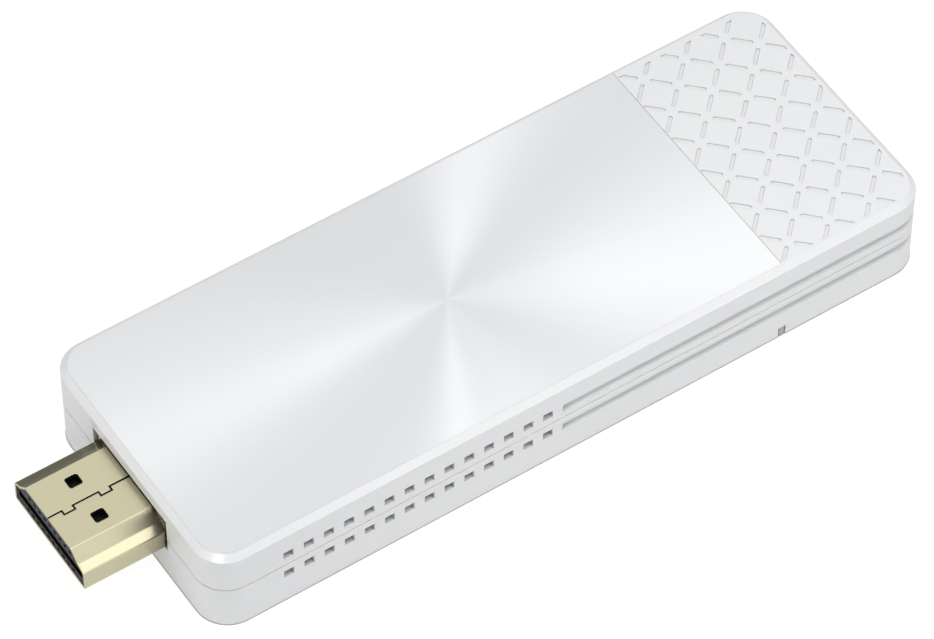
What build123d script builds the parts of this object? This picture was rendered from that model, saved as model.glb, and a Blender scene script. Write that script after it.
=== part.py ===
from build123d import *
import os

# Wireless display dongle, in millimetres.
# X runs along the stick with the display plug towards -X, Y across it, Z up.
# The origin is the centre of the casing's flat underside.

# Casing
casing_length = 89.2
casing_width = 32.7
corner_radius = 3.8
wall = 1.5
floor_thickness = 1.4
roof_thickness = 1.0
top_chamfer = 0.7
foot_chamfer = 0.12
split_height = 6.05
split_gap = 0.15
lip_height = 0.8
lip_thickness = 0.7
fit_gap = 0.05
casing_headroom = 0.33

# Trim plate with the spun finish, from the plug end to the seam
trim_length = 70.4
plate_thickness = 0.4
adhesive_thickness = 0.1
trim_land = 0.05
trim_gap = 0.015
trim_seam = 0.05
adhesive_inset = 0.6

# Diamond lattice of shallow slots beyond the seam
lattice_diagonal = 5.33
lattice_from_seam = 0.97
lattice_from_centreline = 1.157
slot_length = 2.43
slot_width = 0.45
slot_depth = 0.16
slot_least_share = 0.5
lattice_margin = 0.4
lattice_back_margin = 0.75

# Vents and grooves on the long sides
vent_count = 14
vent_pitch = 2.436
vent_width = 1.18
vent_height = 1.05
first_vent_from_plug_end = 8.88
row_offset = 1.585
vent_rise = 0.035
groove_height = 1.15
groove_depth = 0.5
groove_from_last_vent = 1.85
groove_on_far_end = 0.8
notch_from_far_end = 18.7
notch_width = 0.95
notch_height = 1.45
notch_depth = 0.7
key_gap = 0.12
key_recess = 0.06

# Snap hooks that hold the two shells together
hook_width = 3.0
hook_thickness = 0.8
hook_reach = 3.2
hook_catch = 0.35
hook_root = 1.2
hook_barb_height = 0.8
hook_gap = 0.1
hook_from_end = 5.8
clamp_rib_thickness = 0.9
clamp_rib_inset = 1.5

# Display plug, 19 contacts, type A size
plug_width = 13.9
plug_height = 4.45
plug_reach = 9.63
plug_side_height = 2.6
plug_ledge_width = 1.15
plug_ledge_rise = 0.61
plug_top_width = 9.05
plug_sheet = 0.25
plug_bend = 0.32
plug_clearance = 0.25
collar_set_back = 0.3
plug_seam_width = 0.2
plug_tab_depth = 0.55
plug_tab_length = 1.3
plug_tab_first = 2.28
plug_tab_spacing = 4.36
latch_from_tip = 4.57
latch_spacing = 5.15
latch_length = 1.55
latch_width = 1.45
latch_corner = 0.28
latch_recess = 0.6
back_shell_length = 5.0
back_shell_margin = 0.35
leg_length = 2.6
leg_height = 2.5
insulator_recess = 0.12
insulator_gap = 0.04
tongue_slot_width = 12.6
tongue_slot_height = 1.08
tongue_slot_depth = 8.3
tongue_slot_rise = 1.12
contact_pitch = 1.0
contact_width = 0.4
contact_thickness = 0.15
upper_contact_count = 9
lower_contact_count = 10
mouth_height = 0.42
mouth_width = 0.45
mouth_from_slot = 0.61
mouth_wall = 0.6
lower_mouth_drop = 0.3
contact_bulge = 0.06
contact_tail = 2.1
insulator_tail_gap = 1.4

# Main board and its fixings
board_thickness = 1.0
board_side_gap = 1.27
board_end_gap = 1.6
board_corner = 1.2
space_under_board = 4.97
screw_diameter = 1.6
screw_length = 4.0
screw_head_diameter = 3.0
screw_head_height = 0.65
screw_recess = 0.35
screw_from_edge = 2.8
boss_diameter = 3.6
post_diameter = 2.2

# Parts on top of the board
chip_gap = 1.2
processor_size = 13.0
processor_height = 1.2
memory_length = 9.0
memory_width = 7.5
memory_height = 1.0
shield_from_plug_end = 15.6
shield_wall = 0.2
shield_height = 1.5
spreader_thickness = 0.6
spreader_inset = 0.8
crystal_length = 2.5
crystal_width = 3.2
crystal_height = 0.7
surge_length = 1.0
surge_width = 2.5
surge_height = 0.5
radio_size = 12.0
radio_board_thickness = 0.4
radio_can_height = 1.2
radio_from_far_end = 9.1
antenna_length = 14.0
antenna_width = 2.8
antenna_rise = 2.0
antenna_sheet = 0.2
antenna_leg_width = 1.2

# Parts under the board
flash_length = 11.5
flash_width = 13.0
flash_height = 1.0
inductor_size = 4.0
inductor_height = 1.9
inductor_pitch = 5.2
power_chip_size = 4.0
power_chip_height = 0.8
capacitor_length = 1.6
capacitor_width = 0.8
capacitor_pitch = 1.7
capacitor_count = 8

# Power inlet, micro type B
inlet_width = 7.5
inlet_height = 2.5
inlet_depth = 5.3
inlet_sheet = 0.25
inlet_corner_cut = 0.9
inlet_recess = 0.8
inlet_clearance = 0.2
inlet_opening_corner = 0.5
inlet_tongue_width = 3.7
inlet_tongue_thickness = 0.6
inlet_tongue_length = 3.3
inlet_tongue_drop = 0.35
inlet_block_depth = 1.4
inlet_contact_count = 5
inlet_contact_pitch = 0.65
inlet_contact_width = 0.3
inlet_contact_thickness = 0.1
inlet_contact_tail = 1.0

# Reset button, its switch and the status light
port_offset = 7.0
switch_length = 3.0
switch_width = 3.6
switch_height = 1.7
stem_width = 1.6
stem_height = 0.7
stem_inside = 1.1
stem_outside = 1.0
stem_gap = 0.02
dome_thickness = 0.1
button_width = 3.2
button_height = 1.8
button_gap = 0.08
button_flange = 0.45
button_flange_thickness = 0.7
button_recess = 0.1
button_rest_gap = 0.02
button_travel = 0.25
light_width = 1.8
light_height = 1.0
led_length = 0.8
led_width = 1.6
led_height = 1.2
led_gap = 0.3
led_margin = 0.2

# Levels and planes that the driving sizes lead to
far_end = casing_length / 2
plug_end = -far_end
side = casing_width / 2
inner_far = far_end - wall
inner_plug_end = plug_end + wall
inner_side = side - wall
inner_radius = corner_radius - wall
board_low = floor_thickness + space_under_board
board_high = board_low + board_thickness
plug_mid = (board_low + board_high) / 2
shield_top = board_high + shield_height + shield_wall
ceiling = shield_top + spreader_thickness + casing_headroom
pocket_floor = ceiling + roof_thickness
casing_height = pocket_floor + adhesive_thickness + plate_thickness
seam_x = plug_end + trim_length
plug_low = plug_mid - plug_height / 2
plug_high = plug_mid + plug_height / 2
plug_shoulder = plug_low + plug_side_height
plug_tip = plug_end - plug_reach
back_shell_front = inner_plug_end + fit_gap
back_shell_rear = back_shell_front + back_shell_length
back_shell_side = plug_width / 2 + back_shell_margin
board_front = back_shell_rear + fit_gap
board_rear = inner_far - board_end_gap
board_side = inner_side - board_side_gap

# The plug's tongue slot, contacts and insulator
slot_low = plug_low + tongue_slot_rise
slot_high = slot_low + tongue_slot_height
slot_end = plug_tip + tongue_slot_depth
insulator_front = plug_tip + insulator_recess
insulator_rear = back_shell_rear - insulator_tail_gap
upper_mouth = slot_high + mouth_from_slot
lower_mouth = slot_low - lower_mouth_drop - mouth_height / 2
upper_rest = board_high + contact_thickness / 2
lower_rest = lower_mouth + contact_thickness
passage_start = slot_end + mouth_wall

# Where the groups of parts on the board start and end
shield_start = plug_end + shield_from_plug_end
shield_end = shield_start + processor_size + memory_length + 3 * chip_gap + 2 * shield_wall
shield_mid = (shield_start + shield_end) / 2
shield_side = (2 * memory_width + chip_gap) / 2 + chip_gap + shield_wall
processor_x = shield_start + shield_wall + chip_gap + processor_size / 2
memory_x = shield_end - shield_wall - chip_gap - memory_length / 2
memory_y = (memory_width + chip_gap) / 2
radio_x = far_end - radio_from_far_end - radio_size / 2

# The power inlet and the far end's ports
inlet_mouth = far_end - inlet_recess
inlet_rear = inlet_mouth - inlet_depth
inlet_mid = board_low - inlet_height / 2
tongue_level = inlet_mid + inlet_tongue_drop
port_level = board_high + switch_height / 2
port_rear = inner_far - button_rest_gap - button_flange_thickness
switch_front = port_rear - stem_gap - stem_outside
switch_rear = switch_front - switch_length
dome_back = switch_front - stem_inside - 2 * button_travel


def block(x, y, z):
    """A box between two planes along each axis, given as pairs."""
    middle = Pos((x[0] + x[1]) / 2, (y[0] + y[1]) / 2, (z[0] + z[1]) / 2)
    return middle * Box(abs(x[1] - x[0]), abs(y[1] - y[0]), abs(z[1] - z[0]))


def centred(x, y, z, length, width, height):
    """A box that stands on level z, centred in plan on x, y. A negative height hangs it."""
    return block(
        (x - length / 2, x + length / 2), (y - width / 2, y + width / 2), (z, z + height)
    )


def slab(length, width, radius, low, high):
    """A plate with rounded corners in plan, centred on the origin, between two levels."""
    return Pos(0, 0, low) * extrude(RectangleRounded(length, width, radius), high - low)


def post(x, y, low, high, diameter):
    """A round post between two levels."""
    return Pos(x, y, (low + high) / 2) * Cylinder(diameter / 2, high - low)


def across(x0, x1, section):
    """A section drawn in Y and Z, drawn out along X between two planes."""
    return extrude(Plane((x0, 0, 0), x_dir=(0, 1, 0), z_dir=(1, 0, 0)) * section, x1 - x0)


def along_y(points, y, width):
    """A flat outline drawn in X and Z, drawn out across Y and centred on y."""
    face = make_face(Polyline(*points, close=True))
    plane = Plane((0, y + width / 2, 0), x_dir=(1, 0, 0), z_dir=(0, -1, 0))
    return extrude(plane * face, width)


def bent_strip(points, y, width, thickness):
    """A strip of sheet that follows points in X and Z along its middle line."""
    upper, lower = [], []
    for i, (x, z) in enumerate(points):
        before = Vector(*points[max(i - 1, 0)])
        after = Vector(*points[min(i + 1, len(points) - 1)])
        here = Vector(x, z)
        inward = (here - before).normalized() if i else (after - here).normalized()
        onward = (after - here).normalized() if i < len(points) - 1 else inward
        bisector = (inward + onward).normalized()
        square = Vector(-bisector.Y, bisector.X) * (thickness / 2 / bisector.dot(inward))
        upper.append(tuple(here + square)[:2])
        lower.append(tuple(here - square)[:2])
    return along_y(upper + lower[::-1], y, width)


def save(node, *shapes):
    """Writes one node's solids to its file."""
    solids = [solid for shape in shapes for solid in shape.solids()]
    export_step(solids[0] if len(solids) == 1 else Compound(solids), f"parts/{node}.step")


def outline_at(inset):
    """The casing's outline in plan, drawn in by inset."""
    length, width = casing_length - 2 * inset, casing_width - 2 * inset
    return RectangleRounded(length, width, corner_radius - inset)


def beyond(x):
    """Everything in plan on the far side of x."""
    return Pos(x + casing_length, 0) * Rectangle(2 * casing_length, 2 * casing_length)


def oblong(width, height):
    """A slot shape with full round ends."""
    return SlotOverall(width, height)


# Display plug section: wide and square below, stepping in to the narrow top
def plug_outline():
    """The plug's section with square bends."""
    half, top = plug_width / 2, plug_top_width / 2
    ledge = (half - plug_ledge_width, plug_shoulder + plug_ledge_rise)
    right = [(half, plug_low), (half, plug_shoulder), ledge, (top, plug_high)]
    left = [(-y, z) for y, z in reversed(right)]
    return make_face(Polyline(*right, *left, close=True))


def plug_section():
    """The plug's section with its bends rounded."""
    outline = plug_outline()
    return fillet(outline.vertices(), plug_bend)


def plug_inside(inset):
    """The plug's section drawn in by inset."""
    return offset(plug_section(), amount=-inset, kind=Kind.INTERSECTION)


# Openings and recesses that both shells share
def lattice_cutter():
    half = lattice_diagonal / 2
    first_x = seam_x + lattice_from_seam
    columns = int((far_end - first_x) / half) + 2
    rows = int(side / half) + 2
    slots = []
    for m in range(-1, columns):
        for n in range(-rows, rows + 1):
            turn = 45 if (m + n) % 2 == 0 else -45
            spot = Pos(first_x + m * half, lattice_from_centreline + n * half)
            slots.append(spot * Rot(0, 0, turn) * SlotOverall(slot_length, slot_width))
    back_edge = side - top_chamfer - lattice_back_margin
    field = outline_at(top_chamfer + lattice_margin) & beyond(seam_x + trim_seam)
    field &= Pos(0, back_edge - casing_width) * Rectangle(2 * casing_length, 2 * casing_width)
    clipped = [slot & field for slot in slots]
    least = slot_least_share * slots[0].area
    kept = Sketch() + [slot for slot in clipped if slot.area > least]
    return Pos(0, 0, casing_height - slot_depth) * extrude(kept, slot_depth + 1)


def vent_cutters():
    vents = []
    for column in range(vent_count):
        x = plug_end + first_vent_from_plug_end + column * vent_pitch
        for row in (row_offset, -row_offset):
            low = split_height + row + vent_rise - vent_height / 2
            vents.append(centred(x, 0, low, vent_width, 2 * casing_width, vent_height))
    return [vent - cavity(0, casing_height) for vent in vents]


def groove_cutters():
    last_vent = plug_end + first_vent_from_plug_end + (vent_count - 1) * vent_pitch
    start = last_vent + groove_from_last_vent
    face_end = side - corner_radius - groove_on_far_end
    band = outline_at(-1) - outline_at(groove_depth)
    bare = Pos(far_end, 0) * Rectangle(4 * corner_radius, 2 * face_end)
    plan = band & beyond(start) - bare
    grooves = []
    for row in (row_offset, -row_offset):
        low = split_height + row - groove_height / 2
        grooves.append(Pos(0, 0, low) * extrude(plan, groove_height))
    return grooves


def plug_opening():
    """A rectangular window round the plug's collar, with clearance on all four sides."""
    half = plug_width / 2 + plug_clearance
    level = (plug_low - plug_clearance, plug_high + plug_clearance)
    return block((plug_end - 1, inner_plug_end), (-half, half), level)


def inlet_opening():
    width = inlet_width + 2 * inlet_clearance
    height = inlet_height + 2 * inlet_clearance
    middle = board_low - inlet_height / 2
    window = Pos(0, middle) * RectangleRounded(width, height, inlet_opening_corner)
    return across(inner_far - 1, far_end + 1, window)


def port_opening(y, width, height):
    """A round-ended hole in the far end's wall, with running clearance all round."""
    hole = oblong(width + 2 * button_gap, height + 2 * button_gap)
    return across(inner_far - 1, far_end + 1, Pos(y, port_level) * hole)


def shared_cutters():
    return [
        lattice_cutter(),
        *vent_cutters(),
        *groove_cutters(),
        plug_opening(),
        inlet_opening(),
        port_opening(port_offset, button_width, button_height),
        port_opening(-port_offset, light_width, light_height),
    ]


def hook_places():
    """Where the hooks stand along the casing: near both ends and in the middle."""
    reach = far_end - hook_from_end
    return [-reach, 0.0, reach]


def screw_places():
    """Two screws behind the plug and one beyond the shield."""
    y = board_side - screw_from_edge
    front = shield_start - screw_head_diameter / 2 - chip_gap
    return [(front, y), (front, -y), (shield_end + 2 * screw_head_diameter, -y)]


def post_places():
    """Two posts that carry the board's far corners."""
    x, y = board_rear - post_diameter, board_side - post_diameter
    return [(x, y), (x, -y)]


# Casing shells
def closed_casing():
    body = slab(casing_length, casing_width, corner_radius, 0, casing_height)
    return chamfer(body.faces().sort_by(Axis.Z)[-1].edges(), top_chamfer)


def cavity(low, high):
    length, width = casing_length - 2 * wall, casing_width - 2 * wall
    return slab(length, width, inner_radius, low, high)


def lip_ring(grow, low, high):
    """The lip on the lower shell's inner half, or with grow its room in the upper one."""
    inset = wall - lip_thickness - grow
    ring = outline_at(inset)
    return Pos(0, 0, low) * extrude(ring, high - low) - cavity(low - 1, high + 1)


def hook(x, hand):
    """One snap hook on the upper shell, on the side that hand names."""
    outer = inner_side - hook_gap
    inner = outer - hook_thickness
    top = split_height + lip_height + fit_gap
    tip = split_height - hook_reach
    crest = tip + hook_barb_height
    points = [
        (inner, tip),
        (outer, tip),
        (outer + hook_catch + hook_gap, crest),
        (outer, crest),
        (outer, top),
        (inner_side, top),
        (inner_side, top + hook_root),
        (inner, top + hook_root),
    ]
    face = make_face(Polyline(*[(hand * y, z) for y, z in points], close=True))
    return across(x - hook_width / 2, x + hook_width / 2, face)


def hook_pocket(x, hand):
    """The catch in the lower shell's wall that a hook's barb snaps into."""
    tip = split_height - hook_reach
    half = hook_width / 2 + hook_gap
    return block(
        (x - half, x + half),
        (hand * (inner_side - 1), hand * (inner_side + hook_catch + hook_gap)),
        (tip - hook_gap, tip + hook_barb_height + fit_gap),
    )


def clamp_ribs(low, high):
    """Two ribs across the casing that hold the plug's back shell."""
    half = back_shell_side - clamp_rib_inset
    first = back_shell_front + clamp_rib_thickness
    last = back_shell_rear - 2 * clamp_rib_thickness
    return [
        block((x, x + clamp_rib_thickness), (-half, half), (low, high)) for x in (first, last)
    ]


def upper_shell():
    above = slab(
        casing_length, casing_width, corner_radius, split_height + split_gap / 2, casing_height
    )
    shell = (closed_casing() & above) - cavity(0, ceiling)
    shell -= lip_ring(fit_gap, split_height - 1, split_height + lip_height)
    pocket = outline_at(top_chamfer + trim_land) - beyond(seam_x + trim_seam)
    shell -= Pos(0, 0, pocket_floor) * extrude(pocket, casing_height)
    ribs = clamp_ribs(plug_high + back_shell_margin, ceiling)
    hooks = [hook(x, hand) for x in hook_places() for hand in (1, -1)]
    shell = shell + ribs + hooks
    return shell - shared_cutters()


def notch():
    """The pry notch at the foot of the near side."""
    x = far_end - notch_from_far_end
    y = (-side - 1, -side + notch_depth)
    return block((x - notch_width / 2, x + notch_width / 2), y, (-1, notch_height))


def notch_key():
    """A soft key that fills the pry notch, with a narrow gap on both sides."""
    x, half = far_end - notch_from_far_end, notch_width / 2 - key_gap
    return block((x - half, x + half), (-side + key_recess, -side + notch_depth), (0, notch_height))


def lower_shell():
    below = slab(casing_length, casing_width, corner_radius, 0, split_height - split_gap / 2)
    below = chamfer(below.faces().sort_by(Axis.Z)[0].edges(), foot_chamfer)
    shell = below - cavity(floor_thickness, casing_height)
    shell += lip_ring(0, split_height - split_gap, split_height + lip_height)
    ribs = clamp_ribs(floor_thickness, plug_low - back_shell_margin)
    bosses = [post(x, y, floor_thickness, board_low, boss_diameter) for x, y in screw_places()]
    posts = [post(x, y, floor_thickness, board_low, post_diameter) for x, y in post_places()]
    shell = shell + ribs + bosses + posts
    pockets = [hook_pocket(x, hand) for x in hook_places() for hand in (1, -1)]
    bores = [
        post(x, y, board_high - screw_length, board_low + 1, screw_diameter)
        for x, y in screw_places()
    ]
    return shell - (shared_cutters() + pockets + bores + [notch()])


# Trim plate and the adhesive sheet under it
def trim_plan(inset):
    return outline_at(top_chamfer + trim_land + inset) - beyond(seam_x)


def top_plate():
    low = pocket_floor + adhesive_thickness
    return Pos(0, 0, low) * extrude(trim_plan(trim_gap), plate_thickness)


def plate_adhesive():
    sheet = trim_plan(adhesive_inset) - beyond(seam_x - adhesive_inset)
    return Pos(0, 0, pocket_floor) * extrude(sheet, adhesive_thickness)


# Display plug
def plug_seam():
    """The butt joint along the plug's top with two square tabs, as a narrow slit."""
    first = plug_tip + plug_tab_first - plug_tab_length / 2
    points = [(plug_tip - 1, 0)]
    for start in (first, first + plug_tab_spacing):
        points += [(start, 0), (start, -plug_tab_depth)]
        points += [(start + plug_tab_length, -plug_tab_depth), (start + plug_tab_length, 0)]
    points.append((back_shell_rear + 1, 0))
    slit = trace(Polyline(*points), plug_seam_width)
    return Pos(0, 0, plug_high - 1.5 * plug_sheet) * extrude(slit, 2 * plug_sheet)


def latch_windows():
    window = extrude(RectangleRounded(latch_length, latch_width, latch_corner), 2 * plug_sheet)
    x = plug_tip + latch_from_tip
    return [
        Pos(x, y, level - plug_sheet) * window
        for y in (latch_spacing / 2, -latch_spacing / 2)
        for level in (plug_low, plug_high)
    ]


def latch_recesses():
    """Room in the insulator for the latches that spring in through the upper windows."""
    top = plug_high - plug_sheet - insulator_gap
    plan = RectangleRounded(latch_length, latch_width, latch_corner)
    room = extrude(plan, latch_recess + plug_sheet)
    x = plug_tip + latch_from_tip
    return [Pos(x, y, top - latch_recess) * room for y in (latch_spacing / 2, -latch_spacing / 2)]


def plug_collar():
    """A flat rectangular flange round the tube, set back in the casing's opening."""
    front = plug_end + collar_set_back
    plate = Pos(0, (plug_low + plug_high) / 2) * Rectangle(plug_width, plug_high - plug_low)
    return across(front, front + plug_sheet, plate - plug_inside(plug_sheet))


def plug_shell():
    tube = plug_section() - plug_inside(plug_sheet)
    body = across(plug_tip, back_shell_rear, tube) + plug_collar()
    return body - [plug_seam(), *latch_windows()]


def plug_back_shell():
    low, high = plug_low - back_shell_margin, plug_high + back_shell_margin
    side_y = (-back_shell_side, back_shell_side)
    body = block((back_shell_front, back_shell_rear), side_y, (low, high))
    hollow = block(
        (back_shell_front + plug_sheet, back_shell_rear + 1),
        (-back_shell_side + plug_sheet, back_shell_side - plug_sheet),
        (low + plug_sheet, high - plug_sheet),
    )
    legs = [
        block(
            (back_shell_rear - plug_sheet, back_shell_rear + leg_length),
            (hand * back_shell_side, hand * (back_shell_side - plug_sheet)),
            (plug_mid - leg_height / 2, plug_mid + leg_height / 2),
        )
        for hand in (1, -1)
    ]
    return body - hollow - across(plug_end, back_shell_rear, plug_section()) + legs


def contact_rows():
    """Sideways places of the upper and the lower contacts."""
    rows = []
    for count in (upper_contact_count, lower_contact_count):
        rows.append([(i - (count - 1) / 2) * contact_pitch for i in range(count)])
    return rows


def contact_path(mouth, bulge, rest):
    """The spring part of a contact, from its tip behind the mouth to the passage."""
    tip = insulator_front + mouth_wall / 2
    spring = slot_end - tip
    return [
        (tip, mouth),
        (tip + 0.15 * spring, mouth),
        (tip + 0.4 * spring, bulge),
        (tip + 0.85 * spring, rest),
    ]


def upper_contacts():
    level = upper_mouth + mouth_height / 2
    path = contact_path(level, slot_high + contact_thickness / 2 - contact_bulge, upper_rest)
    path.append((board_front + contact_tail, upper_rest))
    return [bent_strip(path, y, contact_width, contact_thickness) for y in contact_rows()[0]]


def lower_contacts():
    tail = board_low - contact_thickness / 2
    path = contact_path(lower_mouth, slot_low - contact_thickness / 2 + contact_bulge, lower_rest)
    path += [
        (insulator_rear + contact_thickness, lower_rest),
        (board_front - 2 * contact_thickness, tail),
        (board_front + contact_tail, tail),
    ]
    return [bent_strip(path, y, contact_width, contact_thickness) for y in contact_rows()[1]]


def plug_insulator():
    body = across(insulator_front, insulator_rear, plug_inside(plug_sheet + insulator_gap))
    half = tongue_slot_width / 2
    cuts = [block((plug_tip - 1, slot_end), (-half, half), (slot_low, slot_high))]
    upper_row, lower_row = contact_rows()
    channel_width = contact_width + 2 * fit_gap
    inside = (insulator_front + mouth_wall, passage_start)
    front = (plug_tip - 1, insulator_front + mouth_wall + fit_gap)
    passage = (passage_start - fit_gap, insulator_rear + 1)
    for y in upper_row:
        channel = (y - channel_width / 2, y + channel_width / 2)
        mouth = (y - mouth_width / 2, y + mouth_width / 2)
        snug = (y - contact_width / 2, y + contact_width / 2)
        cuts.append(block(inside, channel, (slot_high - fit_gap, upper_mouth + mouth_height)))
        cuts.append(block(front, mouth, (upper_mouth, upper_mouth + mouth_height)))
        cuts.append(block(passage, snug, (board_high, board_high + contact_thickness)))
    for y in lower_row:
        channel = (y - channel_width / 2, y + channel_width / 2)
        mouth = (y - mouth_width / 2, y + mouth_width / 2)
        snug = (y - contact_width / 2, y + contact_width / 2)
        low = lower_mouth - mouth_height / 2
        rest = (lower_rest - contact_thickness / 2, lower_rest + contact_thickness / 2)
        cuts.append(block(inside, channel, (low, slot_low + fit_gap)))
        cuts.append(block(front, mouth, (low, low + mouth_height)))
        cuts.append(block(passage, snug, rest))
    return body - cuts - latch_recesses()


# Main board and what holds it
def main_board():
    length, width = board_rear - board_front, 2 * board_side
    plan = Pos((board_front + board_rear) / 2, 0) * RectangleRounded(length, width, board_corner)
    board = Pos(0, 0, board_low) * extrude(plan, board_thickness)
    holes = [
        post(x, y, board_low - 1, board_high + 1, screw_diameter + 2 * hook_gap)
        for x, y in screw_places()
    ]
    slots = [
        block(
            (board_front - 1, back_shell_rear + leg_length + fit_gap),
            (
                hand * (back_shell_side + fit_gap),
                hand * (back_shell_side - plug_sheet - fit_gap),
            ),
            (board_low - 1, board_high + 1),
        )
        for hand in (1, -1)
    ]
    return board - (holes + slots)


def board_screws():
    screws = []
    for x, y in screw_places():
        shank = post(x, y, board_high - screw_length, board_high, screw_diameter)
        head = post(x, y, board_high, board_high + screw_head_height, screw_head_diameter)
        top = board_high + screw_head_height - screw_recess
        arm = screw_head_diameter * 0.6
        cross = [
            centred(x, y, top, arm, screw_recess, screw_recess + 1),
            centred(x, y, top, screw_recess, arm, screw_recess + 1),
        ]
        screws.append(shank + head - cross)
    return screws


# Processor group inside its shield
def processor():
    return centred(processor_x, 0, board_high, processor_size, processor_size, processor_height)


def memory_chips():
    return [
        centred(memory_x, y, board_high, memory_length, memory_width, memory_height)
        for y in (memory_y, -memory_y)
    ]


def shield_frame():
    length, width = shield_end - shield_start, 2 * shield_side
    ring = centred(shield_mid, 0, board_high, length, width, shield_height)
    inside = centred(
        shield_mid, 0, board_high - 1, length - 2 * shield_wall, width - 2 * shield_wall,
        shield_height + 2,
    )
    return ring - inside


def shield_lid():
    length = shield_end - shield_start + 2 * shield_wall + 2 * fit_gap
    width = 2 * (shield_side + shield_wall + fit_gap)
    low = board_high + shield_height / 3
    lid = centred(shield_mid, 0, low, length, width, shield_top - low)
    inside = centred(
        shield_mid, 0, low - 1, length - 2 * shield_wall, width - 2 * shield_wall,
        board_high + shield_height - low + 1,
    )
    return lid - inside


def thermal_pad():
    low = board_high + processor_height
    return centred(
        processor_x, 0, low, processor_size - 1, processor_size - 1,
        board_high + shield_height - low,
    )


def heat_spreader():
    length = shield_end - shield_start - 2 * spreader_inset
    width = 2 * (shield_side - spreader_inset)
    return centred(shield_mid, 0, shield_top, length, width, spreader_thickness)


# Small parts on top of the board
def surge_arrays():
    x = board_front + contact_tail + surge_length + fit_gap
    pitch = surge_width + chip_gap
    return [
        centred(x, row * pitch, board_high, surge_length, surge_width, surge_height)
        for row in (-1, 0, 1)
    ]


def crystal():
    x = shield_end + shield_wall + fit_gap + chip_gap + crystal_length / 2
    return centred(x, memory_y, board_high, crystal_length, crystal_width, crystal_height)


def radio_board():
    return centred(radio_x, 0, board_high, radio_size, radio_size, radio_board_thickness)


def radio_can():
    low = board_high + radio_board_thickness
    size = radio_size - chip_gap
    can = centred(radio_x, 0, low, size, size, radio_can_height)
    inner = size - 2 * shield_wall
    return can - centred(radio_x, 0, low - 1, inner, inner, radio_can_height - shield_wall + 1)


def antenna(hand):
    """A bent sheet antenna: a flat arm held over the board by two legs."""
    end = radio_x + radio_size / 2
    outer = board_side - antenna_sheet
    inner = outer - antenna_width
    top = board_high + antenna_rise
    rows = (hand * inner, hand * outer)
    arm = block((end - antenna_length, end), rows, (top - antenna_sheet, top))
    legs = [
        block(
            (x, x + antenna_leg_width),
            (hand * inner, hand * (inner + antenna_sheet)),
            (board_high, top),
        )
        for x in (end - antenna_length, end - antenna_length + 3 * antenna_leg_width)
    ]
    return arm + legs


# Parts under the board
def flash_chip():
    return centred(shield_mid, 0, board_low, flash_length, flash_width, -flash_height)


def power_inductors():
    return [
        centred(
            radio_x - inductor_size, row * inductor_pitch, board_low,
            inductor_size, inductor_size, -inductor_height,
        )
        for row in (-1, 0, 1)
    ]


def power_chip():
    x = radio_x + power_chip_size / 2
    return centred(x, 0, board_low, power_chip_size, power_chip_size, -power_chip_height)


def capacitors():
    x = radio_x + chip_gap
    placed = []
    for row in range(capacitor_count // 2):
        y = power_chip_size / 2 + chip_gap + row * capacitor_pitch
        for hand in (1, -1):
            placed.append(
                centred(
                    x, hand * y, board_low, capacitor_length, capacitor_width, -capacitor_width
                )
            )
    return placed


# Power inlet
def inlet_section(inset):
    half, low = inlet_width / 2 - inset, board_low - inlet_height + inset
    high, cut = board_low - inset, inlet_corner_cut
    right = [(half, high), (half, low + cut), (half - cut, low)]
    left = [(-y, z) for y, z in reversed(right)]
    return make_face(Polyline(*right, *left, close=True))


def power_inlet_shell():
    tube = across(inlet_rear, inlet_mouth, inlet_section(0))
    return tube - across(inlet_rear - 1, inlet_mouth + 1, inlet_section(inlet_sheet))


def power_inlet_tongue():
    block_end = inlet_rear + inlet_block_depth
    body = across(inlet_rear, block_end, inlet_section(inlet_sheet))
    tongue = block(
        (inlet_rear, block_end + inlet_tongue_length),
        (-inlet_tongue_width / 2, inlet_tongue_width / 2),
        (tongue_level, tongue_level + inlet_tongue_thickness),
    )
    return body + tongue - inlet_contact_solids()


def inlet_contact_solids():
    """Flat strips let into the tongue's lower face, with tails up to the board."""
    end = inlet_rear + inlet_block_depth + inlet_tongue_length - inlet_contact_width
    tail = inlet_rear - inlet_contact_tail
    strips = []
    for i in range(inlet_contact_count):
        y = (i - (inlet_contact_count - 1) / 2) * inlet_contact_pitch
        rows = (y - inlet_contact_width / 2, y + inlet_contact_width / 2)
        bar = block((tail, end), rows, (tongue_level, tongue_level + inlet_contact_thickness))
        riser = block((tail, tail + inlet_contact_thickness), rows, (tongue_level, board_low))
        strips.append(bar + riser)
    return strips


# Reset button, switch and light on the far end
def flanged_port(y, width, height, front, stop, rear):
    """A round-ended cap in the far end's wall with a wider flange up to stop behind it."""
    cap = across(rear, front, Pos(y, port_level) * oblong(width, height))
    grown = 2 * button_flange
    wide = Pos(y, port_level) * oblong(width + grown, height + grown)
    return cap + across(stop - button_flange_thickness, stop, wide)


def reset_button():
    front, stop = far_end - button_recess, inner_far - button_rest_gap
    return flanged_port(port_offset, button_width, button_height, front, stop, port_rear)


def light_pipe():
    rear = board_rear - led_margin + led_gap
    return flanged_port(-port_offset, light_width, light_height, far_end, inner_far, rear)


def switch_stem():
    return block(
        (switch_front - stem_inside, port_rear - stem_gap),
        (port_offset - stem_width / 2, port_offset + stem_width / 2),
        (port_level - stem_height / 2, port_level + stem_height / 2),
    )


def switch_body():
    body = centred(
        (switch_front + switch_rear) / 2, port_offset, board_high,
        switch_length, switch_width, switch_height,
    )
    room = block(
        (dome_back, switch_front + 1),
        (port_offset - stem_width / 2 - fit_gap, port_offset + stem_width / 2 + fit_gap),
        (port_level - stem_height / 2 - fit_gap, port_level + stem_height / 2 + fit_gap),
    )
    return body - room


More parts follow.
